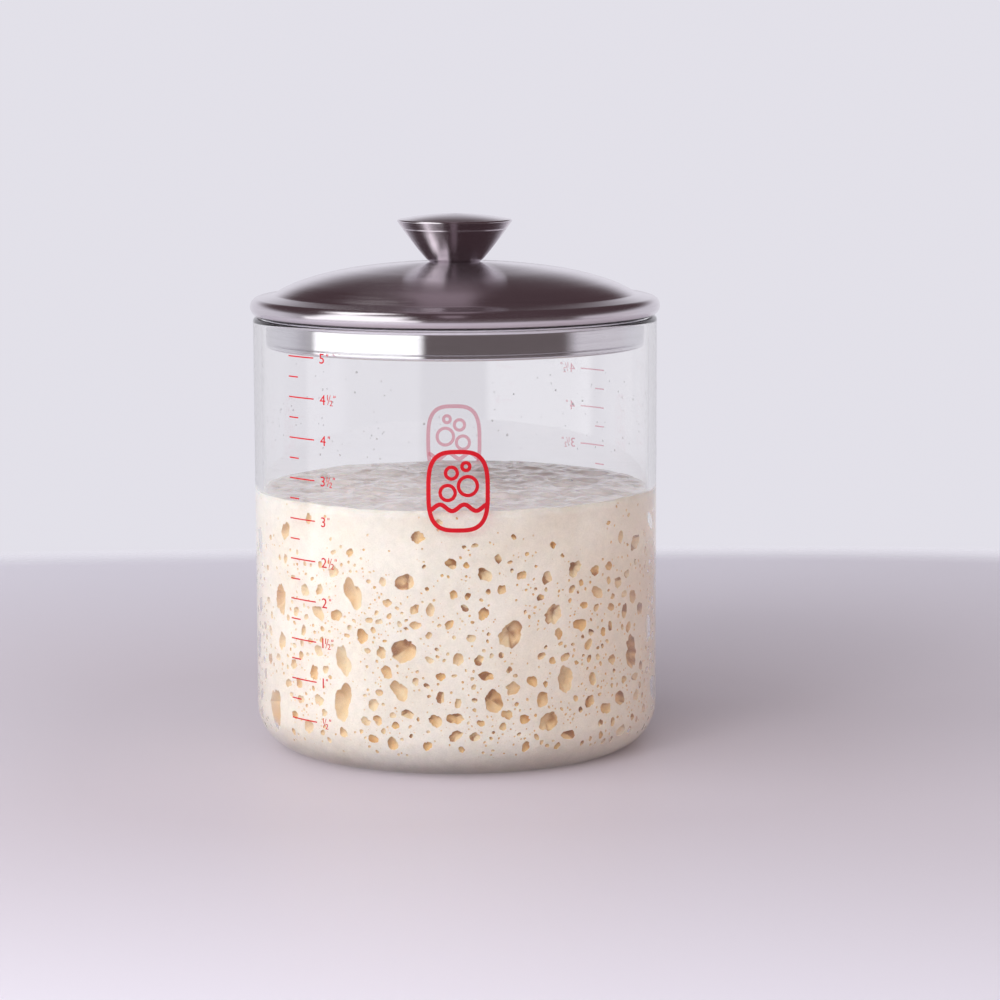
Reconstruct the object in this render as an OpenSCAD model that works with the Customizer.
// A sourdough starter jar: a straight glass jar with a rounded heel, the starter in it,
// and a lift-off lid of spun steel with a rolled rim, a collar and a turned knob.
// Millimetres, +Z up. The origin is the centre of the base, on the table.

/* [Jar] */
// Outside diameter of the glass
jar_od = 130; // [110:1:150]
// Height of the glass, from the table to the top of the lip
jar_h = 139.3; // [112:0.1:180]
// Thickness of the glass wall
wall = 2.7; // [2:0.1:3.5]
// Thickness of the glass floor, over the table
floor_t = 3.2; // [2.6:0.1:5]
// Outside radius of the rounded heel
heel_r = 13.4; // [8:0.1:20]
// Width of the flat ring that the jar stands on
foot_w = 2.6; // [1.5:0.1:5]
// How far the underside rises inside that ring
push_up = 0.8; // [0.2:0.1:1.5]
// Width of the slope between the ring and the risen underside
push_up_w = 12; // [4:0.5:20]

/* [Starter] */
// Depth of the starter at the wall, over the glass floor
starter_h = 81.3; // [30:0.1:90]
// How far the middle of the starter stands above its edge
starter_crown = 0.8; // [0.5:0.1:4]
// Gap between the starter and the glass
starter_gap = 0.1; // [0.05:0.01:0.3]
// Number of the larger bubbles that meet the glass
bubbles = 100; // [20:1:120]
// Width of the narrowest of them
bubble_least = 3.2; // [2:0.1:5]
// Width of the widest, near the floor
bubble_most = 10; // [6:0.1:12]
// Depth of a bubble's pocket, as a share of its width
bubble_sink = 0.3; // [0.15:0.01:0.45]
// Number of broad blisters and dimples on the top
blisters = 30; // [8:1:60]
// Width of the widest of them
blister_w = 15; // [6:0.5:20]
// How far it stands above the top, or sinks into it
blister_h = 1.1; // [0.3:0.1:2]

/* [Lid] */
// Thickness of the lid's sheet steel
lid_t = 0.8; // [0.6:0.05:1.2]
// How far the rolled rim reaches past the glass
rim_over = 0.95; // [0:0.05:2]
// Outside radius of the rolled rim's section
rim_r = 2.95; // [2.4:0.05:3.6]
// Angle that the rim's edge is rolled through
rim_roll = 180; // [150:5:200]
// Gap between the rim and the lip that it rests on
seat_gap = 0.3; // [0.1:0.05:0.4]
// Length of the sloping flange between the rim and the dome
flange_len = 5; // [4:0.1:8]
// Slope of that flange, in degrees
flange_a = 11; // [4:1:16]
// Radius of the crease where the dome meets the flange
crease_r = 2.5; // [1.5:0.1:5]
// Slope of the dome at its foot, in degrees
foot_a = 31.4; // [26:0.1:40]
// Radius of the dome over its foot
foot_r = 40; // [25:1:60]
// Slope where the foot's curve meets the shoulder, in degrees
shoulder_a = 18.3; // [14:0.1:24]
// Radius of the dome's shoulder
shoulder_r = 95; // [60:1:120]
// Slope where the shoulder meets the broad crown, in degrees
crown_a = 8.1; // [6:0.1:12]
// Radius of the flat seat that is pressed into the dome under the knob
pad_r = 9.2; // [8.6:0.1:14]

/* [Collar] */
// Thickness of the collar's sheet steel
collar_t = 0.8; // [0.5:0.05:1.2]
// Gap between the collar and the mouth of the jar, all round
collar_gap = 1.4; // [0.5:0.1:3]
// How far the collar reaches below the top of the lip
collar_drop = 9.2; // [6:0.1:20]
// Inside radius of the bend from the collar into its flange
bend_r = 0.8; // [0.5:0.1:1.2]
// Length of the straight part of the collar's flange, under the lid's flange
collar_flange = 0.8; // [0.4:0.1:1.2]
// Height of the hem folded up inside the collar's lower edge
hem_h = 4; // [2:0.1:5]
// Height of the line pressed round the collar, over its lower edge
line_h = 1.7; // [1:0.1:3]
// Depth of that line
line_d = 0.25; // [0.1:0.05:0.4]

/* [Knob] */
// Diameter of the knob at its widest
knob_d = 37; // [28:0.5:50]
// Diameter of the knob where it sits on the dome
knob_base_d = 16.8; // [14:0.1:17.2]
// Height from the dome to the knob's widest edge
knob_h = 13; // [11:0.1:20]
// Radius that the knob's side bulges with
knob_side_r = 110; // [50:5:200]
// Width of the bevel over the knob's widest edge
knob_bevel = 0.6; // [0.3:0.1:1.5]
// How far the middle of the knob's top stands above its bevel
knob_crown = 1.8; // [0.5:0.1:3]
// Distance of the turned line below the widest edge
knob_line = 2.4; // [1.5:0.1:4]
// Radius of the turned line's section
knob_line_r = 0.22; // [0.1:0.01:0.4]

/* [Screw] */
// Diameter of the screw that holds the knob
screw_d = 5; // [4:0.5:6]
// Length of the screw's shank under its head
screw_len = 9; // [7:0.5:10]
// Diameter of the screw's head
head_d = 9.5; // [8:0.5:12]
// Height of the screw's head
head_h = 3; // [2.4:0.1:4]
// Width of the cross cut in the head
cross_w = 1.2; // [0.8:0.1:1.6]
// Depth of that cross
cross_d = 1.6; // [1:0.1:2]
// Diameter of the washer
washer_d = 12; // [11:0.5:14]
// Thickness of the washer
washer_t = 1; // [0.8:0.1:1.4]
// Gap round the screw in the dome and the washer
hole_gap = 0.25; // [0.1:0.05:0.5]
// Gap round the screw in the knob
thread_gap = 0.05; // [0.02:0.01:0.1]
// Free depth of the knob's hole past the screw's end
hole_spare = 1; // [0.5:0.1:2]

/* [Hidden] */
$fn = 240;

// A step past a face that a cut runs through
past = 1;
// The most that one step of an arc of points turns through, in degrees, and its fewest steps
arc_step = 7.5;
arc_least = 6;
// Facets on a broad arc, and on a fine groove
broad_fn = 1440;
groove_fn = 48;
// Facets on a bubble's or blister's ball
ball_fn = 48;
// Share of the screw head's diameter that the cross spans
cross_share = 0.6;
// Turn from one bubble or blister to the next, which never lines them up
golden = 137.508;
// Turn of the first bubble from the front, and how far the others stray from their places
bubble_first = 26;
bubble_stray = 6;
// Share of a bubble's width that is lost between the floor and the top of the starter
bubble_loss = 0.45;
// Share of the starter's radius that the blisters' middles reach
blister_reach = 0.84;
// How far a blister is rooted in the starter
blister_root = 2;

jar_r = jar_od / 2;
mouth_r = jar_r - wall;
lip_r = wall / 2;
heel_in_r = heel_r - wall;
foot_out = jar_r - heel_r;
foot_in = foot_out - foot_w;

// The lid's outline, from the rim's centre inwards and up: each point is where two stretches
// meet, and each stretch is a line or an arc that leaves the last one without a kink
function out_up(a) = [sin(a), cos(a)];
rim_c = [jar_r + rim_over - rim_r, jar_h + seat_gap + rim_r];
flange_out = rim_c + rim_r * out_up(flange_a);
flange_in = flange_out + flange_len * [-cos(flange_a), sin(flange_a)];
crease_c = flange_in + crease_r * out_up(flange_a);
dome_foot = crease_c - crease_r * out_up(foot_a);
foot_c = dome_foot - foot_r * out_up(foot_a);
shoulder_c = foot_c + (foot_r - shoulder_r) * out_up(shoulder_a);
crown_edge = shoulder_c + shoulder_r * out_up(crown_a);
crown_r = crown_edge[0] / sin(crown_a);
crown_c = [0, crown_edge[1] - crown_r * cos(crown_a)];
pad_z = crown_c[1] + sqrt(crown_r * crown_r - pad_r * pad_r);

// Height of the underside of the lid's flange at a distance from the axis
function under_flange(x) = flange_out[1] + (flange_out[0] - x) * tan(flange_a) - lid_t / cos(flange_a);

// The collar hangs in the mouth, and its bend touches the flange from below
collar_r = mouth_r - collar_gap;
collar_low = jar_h - collar_drop;
bend_c = [collar_r + bend_r, under_flange(collar_r + bend_r) - (bend_r + collar_t) / cos(flange_a)];

// The knob's side is an arc through its base's edge and its widest edge
knob_r = knob_d / 2;
base_r = knob_base_d / 2;
side_run = [knob_r - base_r, knob_h];
side_half = norm(side_run) / 2;
side_mid = [base_r, pad_z] + side_run / 2;
side_in = [-knob_h, knob_r - base_r] / norm(side_run);
side_c = side_mid + sqrt(knob_side_r * knob_side_r - side_half * side_half) * side_in;
function side_x(z) = side_c[0] + sqrt(knob_side_r * knob_side_r - pow(z - side_c[1], 2));
edge_z = pad_z + knob_h;
bevel_r = knob_r - knob_bevel;
top_r = (bevel_r * bevel_r + knob_crown * knob_crown) / (2 * knob_crown);

// The starter's top is a low cap over its edge
starter_r = mouth_r - starter_gap;
starter_top = floor_t + starter_h;
cap_r = (starter_r * starter_r + starter_crown * starter_crown) / (2 * starter_crown);
function cap_z(x) = starter_top + starter_crown - cap_r + sqrt(cap_r * cap_r - x * x);

// Each bubble has a turn round the axis, a height and a width; low ones are wider
function share(i, count) = (i + 0.5) / count;
function bubble_turn(i) = bubble_first + golden * i + bubble_stray * sin(301 * i);
function bubble_w(i) = (bubble_least + (bubble_most - bubble_least) * pow(0.5 + 0.5 * sin(40 * i), 1.4))
  * (1 - bubble_loss * share(i, bubbles));
bubble_low = floor_t + heel_in_r;
function bubble_z(i) = let (low = bubble_low + bubble_most / 4, high = starter_top - bubble_most / 2)
  low + (high - low) * share(i, bubbles);

// Each blister has a turn, a distance from the axis and a width; every other one is a dimple
function blister_x(i) = blister_reach * starter_r * sqrt(share(i, blisters));
function blister_size(i) = 0.75 + 0.25 * sin(157 * i);

screw_r = screw_d / 2;
washer_z = pad_z - lid_t - washer_t;

// Points along an arc about c, from angle a0 to a1, counted from the outward direction up
function arc(c, r, a0, a1) = let (n = max(arc_least, ceil(abs(a1 - a0) / arc_step)))
  [for (i = [0:n]) let (a = a0 + (a1 - a0) * i / n) c + r * [cos(a), sin(a)]];

function reverse(points) = [for (i = [len(points) - 1:-1:0]) points[i]];

// The lid's outline from the screw hole out to the edge of the rolled rim, at a depth under
// its outer face
function dome_line(depth) = concat(
  [[screw_r + hole_gap, pad_z - depth]],
  arc(crown_c, crown_r - depth, 90 - asin(pad_r / crown_r), 90 - crown_a),
  arc(shoulder_c, shoulder_r - depth, 90 - crown_a, 90 - shoulder_a),
  arc(foot_c, foot_r - depth, 90 - shoulder_a, 90 - foot_a),
  arc(crease_c, crease_r + depth, 270 - foot_a, 270 - flange_a),
  arc(rim_c, rim_r - depth, 90 - flange_a, 90 - flange_a - rim_roll));

// A rectangle from the axis to radius r, from height z0 to z1, with its lower corner rounded
module round_tub(r, z0, z1, corner) {
  difference() {
    translate([0, z0]) square([r, z1 - z0]);
    difference() {
      translate([r - corner, z0 - past]) square([corner + past, corner + past]);
      translate([r - corner, z0 + corner]) circle(corner);
    }
  }
}

module jar_profile() {
  difference() {
    union() {
      round_tub(jar_r, 0, jar_h - lip_r, heel_r);
      translate([jar_r - lip_r, jar_h - lip_r]) circle(lip_r);
    }
    round_tub(mouth_r, floor_t, jar_h + past, heel_in_r);
    polygon([[0, -past], [foot_in, -past], [foot_in, 0], [foot_in - push_up_w, push_up],
      [0, push_up]]);
  }
}

module starter_profile() {
  round_tub(starter_r, floor_t + starter_gap, starter_top, heel_in_r - starter_gap);
  intersection() {
    translate([0, starter_top]) square([starter_r, starter_crown]);
    translate([0, starter_top + starter_crown - cap_r]) circle(cap_r, $fn = broad_fn);
  }
}

// A sphere whose cap has width w and height h; the cap's rim lies in the plane z = 0
module cap_ball(w, h) {
  r = (w * w / 4 + h * h) / (2 * h);
  translate([0, 0, h - r]) sphere(r, $fn = ball_fn);
}

module bubble(i) {
  rotate([0, 0, bubble_turn(i) - 90]) translate([starter_r, 0, bubble_z(i)]) rotate([0, -90, 0])
    cap_ball(bubble_w(i), bubble_sink * bubble_w(i));
}

module blister(i) {
  w = blister_w * blister_size(i);
  h = blister_h * blister_size(i);
  intersection() {
    cap_ball(w, h);
    translate([0, 0, -blister_root]) cylinder(d = 1.1 * w, h = blister_root + 2 * h);
  }
}

module dimple(i) {
  mirror([0, 0, 1]) cap_ball(blister_w * blister_size(i), blister_h * blister_size(i));
}

module place_blister(i) {
  rotate([0, 0, golden * i]) translate([blister_x(i), 0, cap_z(blister_x(i))]) children();
}

module dome_profile() {
  polygon(concat(dome_line(0), reverse(dome_line(lid_t))));
}

module collar_profile() {
  bend_end = bend_c + bend_r * out_up(flange_a);
  flange_end = bend_end + collar_flange * [cos(flange_a), -sin(flange_a)];
  hem_c = [collar_r - collar_t, collar_low + collar_t];
  difference() {
    polygon(concat(
      [flange_end],
      arc(bend_c, bend_r, 90 - flange_a, 180),
      arc(hem_c, collar_t, 0, -180),
      [[collar_r - 2 * collar_t, collar_low + hem_h], [collar_r - collar_t, collar_low + hem_h]],
      arc(bend_c, bend_r + collar_t, 180, 90 - flange_a),
      [flange_end + collar_t * out_up(flange_a)]));
    translate([collar_r, collar_low + line_h]) circle(line_d, $fn = groove_fn);
  }
}

module knob_profile() {
  difference() {
    union() {
      intersection() {
        translate([0, pad_z]) square([knob_r, knob_h]);
        translate(side_c) circle(knob_side_r, $fn = broad_fn);
      }
      polygon([[0, edge_z], [knob_r, edge_z], [bevel_r, edge_z + knob_bevel],
        [0, edge_z + knob_bevel]]);
      intersection() {
        translate([0, edge_z + knob_bevel]) square([bevel_r, knob_crown]);
        translate([0, edge_z + knob_bevel + knob_crown - top_r]) circle(top_r, $fn = broad_fn);
      }
    }
    translate([side_x(edge_z - knob_line), edge_z - knob_line]) circle(knob_line_r, $fn = groove_fn);
    translate([0, pad_z - past])
      square([screw_r + thread_gap, screw_len - lid_t - washer_t + hole_spare + past]);
  }
}

module screw_profile() {
  head_r = head_d / 2;
  head_round = head_h / 2;
  polygon(concat(
    [[0, washer_z + screw_len], [screw_r, washer_z + screw_len], [screw_r, washer_z],
      [head_r, washer_z]],
    arc([head_r - head_round, washer_z - head_round], head_round, 0, -90),
    [[0, washer_z - head_h]]));
}

module jar_glass() {
  color([0.86, 0.9, 0.89, 0.35]) rotate_extrude() jar_profile();
}

module starter() {
  color([0.93, 0.88, 0.82]) difference() {
    union() {
      rotate_extrude() starter_profile();
      for (i = [0:2:blisters - 1]) place_blister(i) blister(i);
    }
    for (i = [0:bubbles - 1]) bubble(i);
    for (i = [1:2:blisters - 1]) place_blister(i) dimple(i);
  }
}

module lid_dome() {
  color([0.62, 0.6, 0.61]) rotate_extrude() dome_profile();
}

module lid_collar() {
  color([0.74, 0.73, 0.75]) rotate_extrude() collar_profile();
}

module knob() {
  color([0.6, 0.58, 0.6]) rotate_extrude() knob_profile();
}

module knob_screw() {
  color([0.7, 0.7, 0.72]) difference() {
    rotate_extrude() screw_profile();
    for (turn = [0, 90])
      rotate([0, 0, turn]) translate([0, 0, washer_z - head_h])
        cube([head_d * cross_share, cross_w, 2 * cross_d], center = true);
  }
}

module screw_washer() {
  color([0.72, 0.72, 0.74]) translate([0, 0, washer_z]) difference() {
    cylinder(d = washer_d, h = washer_t);
    translate([0, 0, -past]) cylinder(r = screw_r + hole_gap, h = washer_t + 2 * past);
  }
}

jar_glass();
starter();
lid_dome();
lid_collar();
knob();
knob_screw();
screw_washer();
